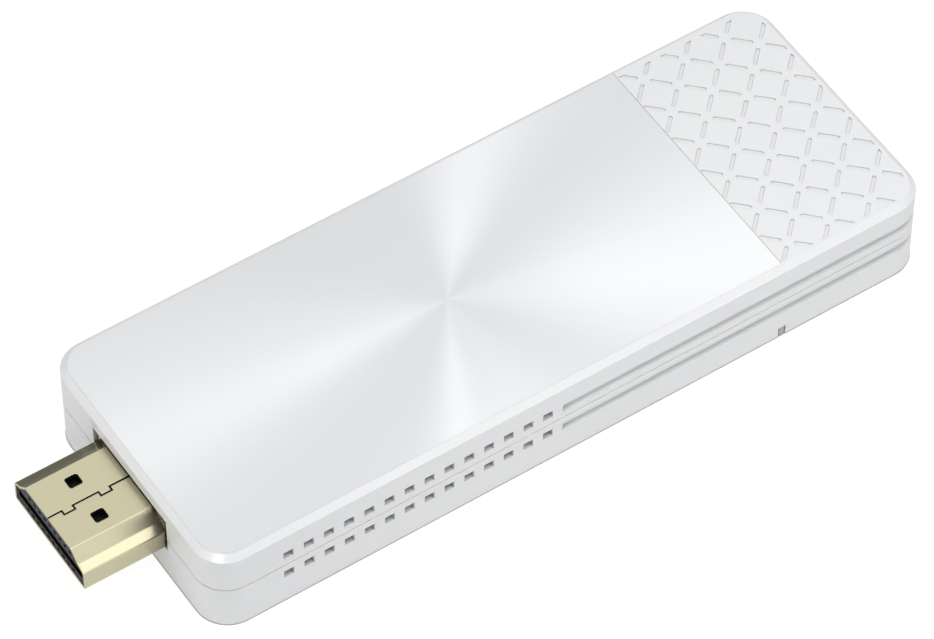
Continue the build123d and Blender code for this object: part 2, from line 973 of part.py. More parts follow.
def switch_dome():
    """The shallow dome spring between the stem and the back of the switch."""
    crown = switch_front - stem_inside
    half = stem_width / 2
    outer = ThreePointArc((dome_back, -half), (crown, 0), (dome_back, half))
    inner_half = half - dome_thickness
    inner = ThreePointArc(
        (dome_back, inner_half), (crown - dome_thickness, 0), (dome_back, -inner_half)
    )
    feet = [
        Line((dome_back, half), (dome_back, inner_half)),
        Line((dome_back, -inner_half), (dome_back, -half)),
    ]
    face = make_face([outer, feet[0], inner, feet[1]])
    low = port_level - stem_height / 2
    return Pos(0, port_offset, low) * extrude(face, stem_height)


def status_led():
    x = board_rear - led_margin - led_length / 2
    return centred(x, -port_offset, board_high, led_length, led_width, led_height)


# Writing the nodes
os.makedirs("parts", exist_ok=True)
save("upper_shell", upper_shell())
save("lower_shell", lower_shell())
save("notch_key", notch_key())
save("top_plate", top_plate())
save("plate_adhesive", plate_adhesive())
save("plug_shell", plug_shell())
save("plug_back_shell", plug_back_shell())
save("plug_insulator", plug_insulator())
save("plug_upper_contacts", *upper_contacts())
save("plug_lower_contacts", *lower_contacts())
save("main_board", main_board())
save("board_screws", *board_screws())
save("processor", processor())
save("memory_chips", *memory_chips())
save("shield_frame", shield_frame())
save("shield_lid", shield_lid())
save("thermal_pad", thermal_pad())
save("heat_spreader", heat_spreader())
save("surge_arrays", *surge_arrays())
save("crystal", crystal())
save("radio_board", radio_board())
save("radio_can", radio_can())
save("main_antenna", antenna(1))
save("second_antenna", antenna(-1))
save("flash_chip", flash_chip())
save("power_inductors", *power_inductors())
save("power_chip", power_chip())
save("capacitors", *capacitors())
save("power_inlet_shell", power_inlet_shell())
save("power_inlet_tongue", power_inlet_tongue())
save("power_inlet_contacts", *inlet_contact_solids())
save("reset_button", reset_button())
save("switch_body", switch_body())
save("switch_stem", switch_stem())
save("switch_dome", switch_dome())
save("status_led", status_led())
save("light_pipe", light_pipe())
print(f"casing {casing_length:.2f} x {casing_width:.2f} x {casing_height:.2f} mm")
print(f"whole length {far_end - plug_tip:.2f} mm, plug centre at {plug_mid:.2f} mm")
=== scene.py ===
"""Dresses the wireless display dongle with its finishes, fine pieces, studio and camera."""

import logging
import math
from dataclasses import dataclass, replace
from enum import Enum
from functools import cache
from typing import Iterable, Mapping, Optional, Sequence, Union

import bmesh
import bpy
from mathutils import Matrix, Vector


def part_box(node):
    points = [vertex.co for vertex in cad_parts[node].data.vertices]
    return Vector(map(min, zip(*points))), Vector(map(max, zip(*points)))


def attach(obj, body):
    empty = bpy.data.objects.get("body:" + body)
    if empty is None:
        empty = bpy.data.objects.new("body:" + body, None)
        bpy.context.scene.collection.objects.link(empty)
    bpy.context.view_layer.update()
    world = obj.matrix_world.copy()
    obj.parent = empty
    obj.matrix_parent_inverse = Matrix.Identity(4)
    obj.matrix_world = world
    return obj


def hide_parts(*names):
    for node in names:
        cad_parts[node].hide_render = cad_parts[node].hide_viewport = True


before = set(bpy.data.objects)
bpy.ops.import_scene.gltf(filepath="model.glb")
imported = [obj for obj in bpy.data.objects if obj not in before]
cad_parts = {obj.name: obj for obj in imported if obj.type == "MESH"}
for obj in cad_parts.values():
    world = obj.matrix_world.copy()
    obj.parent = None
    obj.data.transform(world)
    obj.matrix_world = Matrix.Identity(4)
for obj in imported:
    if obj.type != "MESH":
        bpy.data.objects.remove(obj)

LOG = logging.getLogger("dongle")
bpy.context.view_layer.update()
MM = 0.001
Colour = tuple[float, float, float]
Point = tuple[float, float, float]
Pair = tuple[float, float]
Settings = Optional[Mapping[str, object]]
WHITE: Colour = (1.0, 1.0, 1.0)


# Shader expressions
class Signal:
    """A node's output that takes part in Python expressions."""

    def __init__(self, graph: "Network", socket: bpy.types.NodeSocket) -> None:
        """Keeps the network that the socket belongs to."""
        self.graph = graph
        self.socket = socket

    def __getitem__(self, key: Union[int, str]) -> "Signal":
        """Another output of the same node, by number or name."""
        return Signal(self.graph, self.socket.node.outputs[key])

    def _math(self, operation: str, *operands: "Operand") -> "Signal":
        """One Math node's result, with its operands in the order of its inputs."""
        settings = {"operation": operation}
        return self.graph.node("ShaderNodeMath", settings, dict(enumerate(operands)))

    def __add__(self, other: "Operand") -> "Signal":
        """Sum of two values."""
        return self._math("ADD", self, other)

    def __sub__(self, other: "Operand") -> "Signal":
        """Difference of two values."""
        return self._math("SUBTRACT", self, other)

    def __rsub__(self, other: "Operand") -> "Signal":
        """Difference of two values."""
        return self._math("SUBTRACT", other, self)

    def __mul__(self, other: "Operand") -> "Signal":
        """Product of two values."""
        return self._math("MULTIPLY", self, other)

    def __truediv__(self, other: "Operand") -> "Signal":
        """Quotient of two values."""
        return self._math("DIVIDE", self, other)

    def __pow__(self, other: "Operand") -> "Signal":
        """Power of a value."""
        return self._math("POWER", self, other)

    __radd__ = __add__
    __rmul__ = __mul__

    def at_least(self, low: float) -> "Signal":
        """Value held at or above low."""
        return self._math("MAXIMUM", self, low)

    def wave(self) -> "Signal":
        """Sine of the value, in radians."""
        return self._math("SINE", self)

    def rise(self, low: float, high: float) -> "Signal":
        """Smooth step, 0 up to low and 1 from high on."""
        sockets = {"Value": self, "From Min": low, "From Max": high}
        return self.graph.node("ShaderNodeMapRange", {"interpolation_type": "SMOOTHSTEP"}, sockets)


Operand = Union[Signal, float]


class Network:
    """A node tree under construction, and what its own nodes' type names begin with."""

    PREFIX = "ShaderNode"

    def __init__(self, tree: bpy.types.NodeTree) -> None:
        """Starts from an empty tree."""
        tree.nodes.clear()
        self.tree = tree

    def node(
        self,
        kind: str,
        settings: Settings = None,
        sockets: Optional[Mapping[Union[int, str], object]] = None,
    ) -> Signal:
        """Adds a node.

        Args:
            kind: the node's type name.
            settings: its properties, set first.
            sockets: a value or a signal for each input, by number or name.

        Returns:
            The node's first output, if it has any.
        """
        made = self.tree.nodes.new(kind)
        for name, value in (settings or {}).items():
            setattr(made, name, value)
        for key, value in (sockets or {}).items():
            socket = made.inputs[key]
            if isinstance(value, Signal):
                self.tree.links.new(value.socket, socket)
            elif socket.type == "RGBA":
                socket.default_value = (*value, 1.0)
            else:
                socket.default_value = value
        return Signal(self, next(iter(made.outputs), None))

    def step(self, kind: str, settings: Settings = None, **sockets: object) -> Signal:
        """Adds one of the tree's own nodes, with underscores for spaces in its inputs' names."""
        named = {name.replace("_", " "): value for name, value in sockets.items()}
        return self.node(self.PREFIX + kind, settings, named)


class Graph(Network):
    """A material's or the world's nodes."""

    EDGE_SAMPLES = 6
    HOLLOW_SAMPLES = 8
    COLOURS_IN, COLOUR_OUT = (6, 7), 2

    def place(self) -> Signal:
        """Place in the object's frame, in millimetres."""
        return self.vector("SCALE", self.step("TexCoord")["Object"], Scale=1 / MM)

    def vector(self, operation: str, *operands: object, **named: object) -> Signal:
        """Adds one Vector Math node.

        Args:
            operation: the node's operation.
            operands: its vector inputs in order.
            named: other inputs by name.

        Returns:
            A number for a length or a dot product, and otherwise a vector.
        """
        sockets = {**dict(enumerate(operands)), **named}
        made = self.node("ShaderNodeVectorMath", {"operation": operation}, sockets)
        return made["Value" if operation in ("LENGTH", "DOT_PRODUCT") else "Vector"]

    def stretched(self, vector: Signal, scale: Point) -> Signal:
        """The vector multiplied part by part."""
        return self.vector("MULTIPLY", vector, scale)

    def noise(self, vector: Signal, scale: float, detail: float = 3.0) -> Signal:
        """Noise from 0 to 1, with scale in waves per millimetre."""
        return self.step("TexNoise", Vector=vector, Scale=scale, Detail=detail)

    def cells(self, vector: Signal, scale: float) -> Signal:
        """Distance in a field of random cells."""
        return self.step("TexVoronoi", Vector=vector, Scale=scale)["Distance"]

    def blend(self, first: object, second: object, share: Operand) -> Signal:
        """Two colours mixed, with share of the second one."""
        sockets = {0: share, **dict(zip(self.COLOURS_IN, (first, second)))}
        return self.node("ShaderNodeMix", {"data_type": "RGBA"}, sockets)[self.COLOUR_OUT]

    def hollow(self, reach: float, alone: bool = False) -> Signal:
        """How enclosed a spot is within a reach in mm, by all walls or the piece's own alone."""
        settings = {"samples": self.HOLLOW_SAMPLES, "only_local": alone}
        return 1.0 - self.step("AmbientOcclusion", settings, Distance=reach * MM)["AO"]

    def eased_normal(self, radius: float, height: Signal, depth: float) -> Signal:
        """Surface direction, with edges rounded by a radius and relief of a depth in mm."""
        eased = self.step("Bevel", {"samples": self.EDGE_SAMPLES}, Radius=radius * MM)
        return self.step("Bump", Strength=1.0, Distance=depth * MM, Height=height, Normal=eased)

    def mixed(self, share: Signal, first: Signal, second: Signal) -> None:
        """Shows two shaders, with share of the second one."""
        self.show(self.node("ShaderNodeMixShader", None, {0: share, 1: first, 2: second}))

    def surface(self, **sockets: object) -> None:
        """Shows the surface shader, with underscores for spaces in its inputs' names."""
        self.show(self.step("BsdfPrincipled", **sockets))

    def show(self, shader: Signal) -> None:
        """Joins a shader to the material's output."""
        self.step("OutputMaterial", Surface=shader)


# Geometry Nodes
class Kind(Enum):
    """The kinds of input that a pattern takes."""

    GEOMETRY = "NodeSocketGeometry"
    LENGTH = "NodeSocketFloat"
    NUMBER = "NodeSocketInt"
    MATERIAL = "NodeSocketMaterial"


class Pattern(Network):
    """A Geometry Nodes tree with named inputs."""

    PREFIX = "GeometryNode"
    CORNER_STEPS = 4
    COIL_STEPS = 20

    def __init__(self, name: str, *lengths: str, **others: Kind) -> None:
        """Starts the tree.

        Args:
            name: the tree's name.
            lengths: names of the inputs that are lengths.
            others: kind of each other input, by name.
        """
        super().__init__(bpy.data.node_groups.new(name, "GeometryNodeTree"))
        self.lengths = lengths
        face = self.tree.interface
        face.new_socket("Geometry", in_out="OUTPUT", socket_type=Kind.GEOMETRY.value)
        kinds = {"Geometry": Kind.GEOMETRY, **dict.fromkeys(lengths, Kind.LENGTH), **others}
        for label, kind in {**kinds, "Material": Kind.MATERIAL}.items():
            face.new_socket(label, in_out="INPUT", socket_type=kind.value)
        self.given = self.node("NodeGroupInput")

    def sizes(self) -> list[Signal]:
        """The inputs that are lengths, in order."""
        return [self.given[label] for label in self.lengths]

    def point(self, x: Operand = 0.0, y: Operand = 0.0, z: Operand = 0.0) -> Signal:
        """A vector from three values."""
        return self.node("ShaderNodeCombineXYZ", None, {0: x, 1: y, 2: z})

    def swept(self, path: Signal, section: Signal) -> Signal:
        """The section carried along the path, with closed ends."""
        return self.step("CurveToMesh", Curve=path, Profile_Curve=section, Fill_Caps=True)

    def lifted(self, shape: Signal, height: Operand) -> Signal:
        """The shape moved up."""
        return self.step("Transform", Geometry=shape, Translation=self.point(z=height))

    def coil(
        self, turns: Operand, radius: Signal, height: Operand, half: Operand, corners: int
    ) -> Signal:
        """A wire wound into an upright coil.

        Args:
            turns: how often it goes round.
            radius: the coil's radius.
            height: the coil's height.
            half: the wire's radius.
            corners: how many corners the wire's section has.

        Returns:
            The coil's mesh.
        """
        path = self.step(
            "CurveSpiral", Resolution=self.COIL_STEPS, Rotations=turns, Start_Radius=radius,
            End_Radius=radius, Height=height,
        )
        return self.swept(path, self.step("CurvePrimitiveCircle", Resolution=corners, Radius=half))

    def rounded_bar(
        self, length: Operand, width: Operand, height: Operand, corner: Operand
    ) -> Signal:
        """An upright bar with rounded corners, standing on the origin.

        Args:
            length: its size along X.
            width: its size along Y.
            height: its height.
            corner: radius of its corners.

        Returns:
            The bar's mesh.
        """
        plan = self.step("CurvePrimitiveQuadrilateral", Width=length, Height=width)
        sockets = {"Curve": plan, "Count": self.CORNER_STEPS, "Radius": corner}
        plan = self.step("FilletCurve", {"mode": "POLY"}, **sockets)
        return self.swept(self.step("CurvePrimitiveLine", End=self.point(z=height)), plan)

    def joined(self, *shapes: Signal) -> Signal:
        """Several shapes as one.

        Args:
            shapes: the shapes.

        Returns:
            All of them.
        """
        whole = self.step("JoinGeometry")
        for shape in shapes:
            self.tree.links.new(shape.socket, whole.socket.node.inputs[0])
        return whole

    def on_points(self, shape: Signal) -> Signal:
        """The shape at every point of the mesh that the pattern is put on."""
        return self.step("InstanceOnPoints", Points=self.given["Geometry"], Instance=shape)

    def close(self, shape: Signal) -> "Pattern":
        """Ends the tree with plain geometry in the given material.

        Args:
            shape: what the tree has made.

        Returns:
            The pattern.
        """
        whole = self.step("RealizeInstances", Geometry=shape)
        painted = self.step("SetMaterial", Geometry=whole, Material=self.given["Material"])
        self.node("NodeGroupOutput", None, {"Geometry": painted})
        return self

    def fill(
        self,
        name: str,
        node: str,
        slot: str,
        finish: "Finish",
        points: Sequence[Point],
        path: bool = False,
        **values: float,
    ) -> None:
        """Runs the pattern and puts its result, as a plain mesh, in the place of a CAD node.

        Args:
            name: the new piece's name.
            node: the node that it replaces.
            slot: not used.
            finish: what the piece is made in.
            points: where the pattern starts from, in millimetres.
            path: whether an edge joins each point to the next.
            values: the other inputs, by name, with lengths in millimetres.
        """
        seed = bpy.data.meshes.new(name)
        edges = [(i, i + 1) for i in range(len(points) - 1)] if path else []
        seed.from_pydata(metres(points), edges, [])
        piece = placed(name, seed)
        modifier = piece.modifiers.new(self.tree.name, "NODES")
        modifier.node_group = self.tree
        inputs = {k: v * MM if k in self.lengths else v for k, v in values.items()}
        inputs["Material"] = finish.material()
        for item in self.tree.interface.items_tree:
            if item.in_out == "INPUT" and item.name in inputs:
                modifier[item.identifier] = inputs[item.name]
        ready = piece.evaluated_get(bpy.context.evaluated_depsgraph_get())
        mesh = bpy.data.meshes.new_from_object(ready)
        piece.modifiers.remove(modifier)
        piece.data = mesh
        tidy_shell(mesh)
        stand_in(piece, node)


@cache
def strip_row() -> Pattern:
    """Flat strips bent along a path drawn in X and Z, side by side along Y.

    Returns:
        The pattern.
    """
    bend_steps = 5
    tree = Pattern("strip_row", "Width", "Thickness", "Bend", "Pitch", Count=Kind.NUMBER)
    width, thickness, bend, pitch = tree.sizes()
    count = tree.given["Count"]
    path = tree.step("MeshToCurve", Mesh=tree.given["Geometry"])
    sockets = {"Curve": path, "Count": bend_steps, "Radius": bend, "Limit_Radius": True}
    path = tree.step("FilletCurve", {"mode": "POLY"}, **sockets)
    path = tree.step("SetCurveNormal", {"mode": "FREE"}, Curve=path, Normal=(0.0, 1.0, 0.0))
    section = tree.step("CurvePrimitiveQuadrilateral", Width=width, Height=thickness)
    strip = tree.swept(path, section)
    sockets = {"Start_Location": tree.point(y=(count - 1.0) * pitch * -0.5)}
    places = tree.step("MeshLine", Count=count, Offset=tree.point(y=pitch), **sockets)
    return tree.close(tree.step("InstanceOnPoints", Points=places, Instance=strip))


@cache
def block_group() -> Pattern:
    """Upright blocks with rounded corners, one on each point."""
    tree = Pattern("block_group", "Length", "Width", "Height", "Corner")
    return tree.close(tree.on_points(tree.rounded_bar(*tree.sizes())))


@cache
def drum_group() -> Pattern:
    """Square drum cores, two flanges on a round post, one on each point.

    Returns:
        The pattern.
    """
    flange_corner, post_corner = 0.12, 0.45
    tree = Pattern("drum_group", "Side", "Height", "Flange", "Post")
    side, height, flange, post = tree.sizes()
    low = tree.rounded_bar(side, side, flange, side * flange_corner)
    middle = tree.rounded_bar(post, post, height - flange, post * post_corner)
    middle = tree.lifted(middle, flange * 0.5)
    high = tree.lifted(low, height - flange)
    return tree.close(tree.on_points(tree.joined(low, middle, high)))


@cache
def winding_group() -> Pattern:
    """Upright coils of round wire, one on each point.

    Returns:
        The pattern.
    """
    tree = Pattern("winding_group", "Radius", "Height", "Wire", Turns=Kind.NUMBER)
    radius, height, wire = tree.sizes()
    coil = tree.coil(tree.given["Turns"], radius, height, wire * 0.5, corners=6)
    return tree.close(tree.on_points(coil))


@cache
def screw_group() -> Pattern:
    """Self-tapping screws with a flat head and a cross recess, one under each point.

    Returns:
        The pattern.
    """
    core_share, tip_share, thread_share, thread_foot, ridge_share = 0.36, 0.6, 0.85, 0.9, 0.4
    rim_share, top_share, arm_share, slit_share = 0.5, 0.4, 0.6, 0.12
    sizes = ("diameter", "length", "head_diameter", "head_height", "thread_pitch")
    tree = Pattern("screw_group", *sizes)
    diameter, length, head_width, head_height, pitch = tree.sizes()
    core = diameter * core_share
    cone = {"Radius_Top": core, "Radius_Bottom": core * tip_share, "Depth": length}
    shank = tree.lifted(tree.step("MeshCone", Vertices=20, **cone), length * -1.0)
    rise = length * thread_share
    thread = tree.coil(rise / pitch, core, rise, pitch * ridge_share, corners=3)
    thread = tree.lifted(thread, length * -thread_foot)
    cone = {"Radius_Top": head_width * top_share, "Radius_Bottom": head_width * rim_share}
    head = tree.step("MeshCone", Vertices=32, Depth=head_height, **cone)
    wide, thin = head_width * arm_share, head_width * slit_share
    cross = tree.joined(
        tree.step("MeshCube", Size=tree.point(wide, thin, head_height)),
        tree.step("MeshCube", Size=tree.point(thin, wide, head_height)),
    )
    head = tree.step(
        "MeshBoolean", {"operation": "DIFFERENCE", "solver": "EXACT"}, Mesh_1=head,
        Mesh_2=tree.lifted(cross, head_height), Self_Intersection=True,
    )
    return tree.close(tree.on_points(tree.joined(shank, thread, head)))


# Meshes
MERGE_DISTANCE = 1e-7
SHARP_ANGLE = 35.0
RING_SHARP_ANGLE = 28.0
RING_STEPS = 32


def placed(name: str, data: bpy.types.ID) -> bpy.types.Object:
    """Puts a new object in the scene.

    Args:
        name: the object's name.
        data: its mesh, camera or lamp.

    Returns:
        The object.
    """
    thing = bpy.data.objects.new(name, data)
    bpy.context.scene.collection.objects.link(thing)
    return thing


def metres(points: Iterable[Point]) -> list[Point]:
    """Points in metres, from points in millimetres."""
    return [tuple(part * MM for part in point) for point in points]


def tidy_shell(mesh: bpy.types.Mesh, sharp: float = SHARP_ANGLE) -> None:
    """Merges doubles, turns all faces outwards and smooths what is round.

    Args:
        mesh: the mesh to tidy.
        sharp: angle in degrees beyond which an edge stays crisp.
    """
    shape = bmesh.new()
    shape.from_mesh(mesh)
    bmesh.ops.remove_doubles(shape, verts=shape.verts, dist=MERGE_DISTANCE)
    bmesh.ops.recalc_face_normals(shape, faces=shape.faces)
    shape.to_mesh(mesh)
    shape.free()
    mesh.shade_smooth()
    mesh.set_sharp_from_angle(angle=math.radians(sharp))


def stacked(name: str, rings: Sequence[Sequence[Point]], finish: "Finish") -> bpy.types.Object:
    """A closed skin over rings of points that all have the same number.

    Args:
        name: the piece's name.
        rings: the rings from one end to the other, in millimetres.
        finish: what the piece is made in.

    Returns:
        The piece, in the scene.
    """
    count = len(rings[0])
    mesh = bpy.data.meshes.new(name)
    corners = metres(point for ring in rings for point in ring)
    faces = [tuple(range(count)), tuple(range(len(corners) - count, len(corners)))]
    for low in range(0, len(corners) - count, count):
        for i in range(count):
            after = (i + 1) % count
            faces.append((low + i, low + after, low + count + after, low + count + i))
    mesh.from_pydata(corners, [], faces)
    mesh.materials.append(finish.material())
    tidy_shell(mesh, RING_SHARP_ANGLE)
    return placed(name, mesh)


def oblong(x: float, centre: Pair, half: Pair, grow: float) -> list[Point]:
    """A ring with straight sides and round ends, upright across X.

    Args:
        x: where it stands.
        centre: its middle in Y and Z.
        half: half its length and half its height.
        grow: how far it is set out beyond that size.

    Returns:
        The ring's points, in millimetres.
    """
    radius, reach = half[1] + grow, half[0] - half[1]
    ring = []
    for step in range(RING_STEPS):
        angle = math.tau * (step + 0.5) / RING_STEPS
        side = math.copysign(reach, math.cos(angle)) + radius * math.cos(angle)
        ring.append((x, centre[0] + side, centre[1] + radius * math.sin(angle)))
    return ring


def span(node: str) -> tuple[Vector, Vector]:
    """Lowest and highest corner of a CAD node, in millimetres."""
    low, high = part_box(node)
    return low / MM, high / MM


class Body(Enum):
    """The bodies that pieces ride on."""

    DONGLE = "dongle"
    BUTTON = "button"


def stand_in(piece: bpy.types.Object, node: str, body: Body = Body.DONGLE) -> None:
    """Puts a finished piece in the place of a CAD node.

    Args:
        piece: the piece.
        node: the node that it replaces.
        body: what it moves with.
    """
    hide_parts(node)
    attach(piece, body.value)
    LOG.info("%s in place of %s, %d faces", piece.name, node, len(piece.data.polygons))


# Finishes
@dataclass(frozen=True)
class Finish:
    """A surface finish that builds one material.

    edge is how far edges are eased and relief how deep the texture is, in millimetres.
    gloss_spread is how far the texture changes the roughness.
    """

    name: str
    edge: float = 0.06
    relief: float = 0.004
    roughness: float = 0.42
    gloss_spread: float = 0.15

    def material(self) -> bpy.types.Material:
        """The finish's material, made once."""
        return built(self)

    def paint(self, graph: Graph) -> None:
        """Adds the nodes. Each finish has its own."""
        raise NotImplementedError


def blank(name: str) -> tuple[bpy.types.Material, Graph]:
    """Starts a material.

    Args:
        name: its name.

    Returns:
        The material and its nodes, empty.
    """
    material = bpy.data.materials.new(name)
    material.use_nodes = True
    return material, Graph(material.node_tree)


@cache
def built(finish: Finish) -> bpy.types.Material:
    """Makes a finish's material.

    Args:
        finish: the finish to build.

    Returns:
        The new material.
    """
    material, graph = blank(finish.name)
    finish.paint(graph)
    return material


@dataclass(frozen=True)
class MouldedPlastic(Finish):
    """Moulded plastic with a fine eroded grain and faint flow marks, and painted shade that
    darkens its colour in recesses and gaps.
    """

    gloss_spread: float = 0.08
    colour: Colour = (0.8, 0.8, 0.8)
    shade: Colour = (0.76, 0.76, 0.77)
    flow_stretch: Point = (0.35, 1.0, 1.0)
    flow_scale: float = 0.06
    flow_range: Pair = (0.35, 0.7)
    flow_share: float = 0.6
    speckle_scale: float = 8.5
    speckle_share: float = 0.2
    grain_scale: float = 5.0
    coat: float = 0.0
    coat_roughness: float = 0.12
    shine: float = 0.5
    # The recess and gap colours are painted shade, laid where the piece's own walls enclose a
    # spot.
    recess: Colour = (0.5, 0.51, 0.52)
    recess_reach: float = 1.5
    recess_range: Pair = (0.3, 0.75)
    gap: Colour = (0.06, 0.06, 0.06)
    gap_range: Pair = (0.86, 1.0)

    def paint(self, graph: Graph) -> None:
        """Adds the nodes.

        Args:
            graph: the material's nodes.
        """
        place = graph.place()
        flow = graph.noise(graph.stretched(place, self.flow_stretch), self.flow_scale, 2.0)
        speckle = graph.noise(place, self.speckle_scale, 2.0)
        share = flow.rise(*self.flow_range) * self.flow_share + speckle * self.speckle_share
        grain = graph.noise(place, self.grain_scale, 4.0)
        # Painted shade: the colour darkens towards the recess colour, then to near black in deep
        # gaps, by how enclosed each spot is.
        hollow = graph.hollow(self.recess_reach, True)
        body = graph.blend(self.colour, self.shade, share)
        body = graph.blend(body, self.recess, hollow.rise(*self.recess_range))
        graph.surface(
            Base_Color=graph.blend(body, self.gap, hollow.rise(*self.gap_range)),
            Roughness=self.roughness + (speckle - 0.5) * self.gloss_spread,
            Specular_IOR_Level=self.shine,
            Coat_Weight=self.coat,
            Coat_Roughness=self.coat_roughness,
            Normal=graph.eased_normal(self.edge, grain, self.relief),
        )


@dataclass(frozen=True)
class Ray:
    """One painted highlight of a spun finish, a fan of painted sheen in its colour: direction in
    degrees, sharpness, gain, reach in mm.
    """

    direction: float
    sharpness: float
    gain: float
    reach: float


@dataclass(frozen=True)
class SpunFinish(Finish):
    """Pale lacquered metal, spun about one point, with fans of light painted into its colour as
    painted highlights.
    """

    centre: Pair = (-6.0, -0.3)
    hub: float = 0.01
    # The hub share and the rays set the painted sheen, fans of highlight painted towards the light
    # colour; the streaks and rings are the plate's own tone.
    hub_light: float = 0.35
    dark: Colour = (0.712, 0.712, 0.722)
    light: Colour = (0.93, 0.93, 0.935)
    relief: float = 0.0004
    roughness: float = 0.36
    gloss_spread: float = -0.06
    rays: tuple[Ray, ...] = ()
    streak_scale: float = 26.0
    streak_share: float = 0.06
    near_streak_share: float = 0.16
    near_reach: float = 14.0
    ring_scale: float = 2.2
    ring_share: float = 0.02
    line_pitch: float = 0.22
    coat: float = 0.15
    coat_roughness: float = 0.25

    def paint(self, graph: Graph) -> None:
        """Adds the nodes.

        Args:
            graph: the material's nodes.
        """
        offset = graph.vector("SUBTRACT", graph.place(), (*self.centre, 0.0))
        flat = graph.stretched(offset, (1.0, 1.0, 0.0))
        radius = graph.vector("LENGTH", flat).at_least(self.hub)
        outward = graph.vector("NORMALIZE", flat)
        # Painted highlight: each ray paints a fan of sheen into the colour, growing with distance
        # from the centre.
        painted_sheen: Operand = 0.0
        for ray in self.rays:
            angle = math.radians(ray.direction)
            heading = (math.cos(angle), math.sin(angle), 0.0)
            toward = graph.vector("DOT_PRODUCT", outward, heading).at_least(0.0)
            far = radius.rise(0.0, ray.reach) * (1.0 - self.hub_light)
            painted_sheen = toward**ray.sharpness * ray.gain * (self.hub_light + far) + painted_sheen
        streaks = graph.noise(outward, self.streak_scale, 2.0)
        across = graph.step("CombineXYZ", X=radius)
        rings = graph.noise(across, self.ring_scale)
        near = 1.0 - radius.rise(0.0, self.near_reach)
        streak = (streaks - 0.5) * (self.streak_share + near * self.near_streak_share)
        share = painted_sheen + streak + (rings - 0.5) * self.ring_share
        lines = (radius * (math.tau / self.line_pitch)).wave() * 0.5 + 0.5
        graph.surface(
            Base_Color=graph.blend(self.dark, self.light, share),
            Roughness=self.roughness + painted_sheen * self.gloss_spread,
            Coat_Weight=self.coat,
            Coat_Roughness=self.coat_roughness,
            Normal=graph.eased_normal(self.edge, lines, self.relief),
        )


@dataclass(frozen=True)
class SheetMetal(Finish):
    """Plated sheet metal with rolling lines along one axis, dull patches, and painted shade that
    darkens it in creases and beside other parts.
    """

    colour: Colour = (0.6, 0.6, 0.6)
    tarnish: Colour = (0.5, 0.5, 0.5)
    relief: float = 0.0006
    roughness: float = 0.25
    patch_scale: float = 0.35
    patch_range: Pair = (0.35, 0.75)
    patch_share: float = 0.4
    line_stretch: Point = (0.2, 6.0, 6.0)
    line_share: float = 0.2
    line_gloss: float = 0.05
    # The crease colour is painted shade, laid where surfaces of this piece or of other parts
    # enclose a spot.
    crease: Colour = (0.14, 0.125, 0.085)
    crease_reach: float = 0.5
    crease_range: Pair = (0.17, 0.62)

    def paint(self, graph: Graph) -> None:
        """Adds the nodes.

        Args:
            graph: the material's nodes.
        """
        place = graph.place()
        patches = graph.noise(place, self.patch_scale).rise(*self.patch_range) * self.patch_share
        rolling = graph.noise(graph.stretched(place, self.line_stretch), 1.0)
        plated = graph.blend(self.colour, self.tarnish, patches + rolling * self.line_share)
        # Painted shade: the plated colour darkens towards the crease colour where nearby walls
        # enclose a spot.
        crease_shade_share = graph.hollow(self.crease_reach).rise(*self.crease_range)
        dulled = self.roughness + patches * self.gloss_spread
        graph.surface(
            Base_Color=graph.blend(plated, self.crease, crease_shade_share),
            Metallic=1.0,
            Roughness=dulled + (rolling - 0.5) * self.line_gloss,
            Normal=graph.eased_normal(self.edge, rolling, self.relief),
        )


@dataclass(frozen=True)
class SolderMask(Finish):
    """Lacquered circuit board with fine tracks under the mask and a faint weave."""

    colour: Colour = (0.012, 0.11, 0.045)
    track: Colour = (0.03, 0.19, 0.08)
    track_share: float = 0.8
    relief: float = 0.015
    roughness: float = 0.3
    weave_stretch: Point = (1.0, 1.0, 6.0)
    weave_scale: float = 4.0

    def paint(self, graph: Graph) -> None:
        """Adds the nodes.

        Args:
            graph: the material's nodes.
        """
        place = graph.place()
        tracks = graph.step(
            "TexBrick", {"offset": 0.37}, Vector=place, Scale=1.0, Mortar_Size=0.06,
            Brick_Width=3.1, Row_Height=0.42,
        )["Fac"]
        weave = graph.noise(graph.stretched(place, self.weave_stretch), self.weave_scale, 2.0)
        share = tracks * self.track_share + weave * (1.0 - self.track_share)
        graph.surface(
            Base_Color=graph.blend(self.colour, self.track, share),
            Roughness=self.roughness + weave * self.gloss_spread,
            Normal=graph.eased_normal(self.edge, tracks, self.relief),
        )


@dataclass(frozen=True)
class Grained(Finish):
    """Pressed or filled material with small grains in it.

    cloudy says how far its relief follows a soft cloud in place of the grains.
    """

    colour: Colour = (0.018, 0.018, 0.02)
    grain: Colour = (0.05, 0.05, 0.052)
    grain_scale: float = 9.0
    grain_range: Pair = (0.1, 0.5)
    grain_share: float = 1.0
    cloud_scale: float = 1.2
    cloud_detail: float = 3.0
    cloudy: float = 0.0

    def paint(self, graph: Graph) -> None:
        """Adds the nodes.

        Args:
            graph: the material's nodes.
        """
        place = graph.place()
        grains = graph.cells(place, self.grain_scale).rise(*self.grain_range)
        cloud = graph.noise(place, self.cloud_scale, self.cloud_detail)
        share = grains * self.grain_share + cloud * (1.0 - self.grain_share)
        texture = grains * (1.0 - self.cloudy) + cloud * self.cloudy
        graph.surface(
            Base_Color=graph.blend(self.grain, self.colour, share),
            Roughness=self.roughness + texture * self.gloss_spread,
            Normal=graph.eased_normal(self.edge, texture, self.relief),
        )


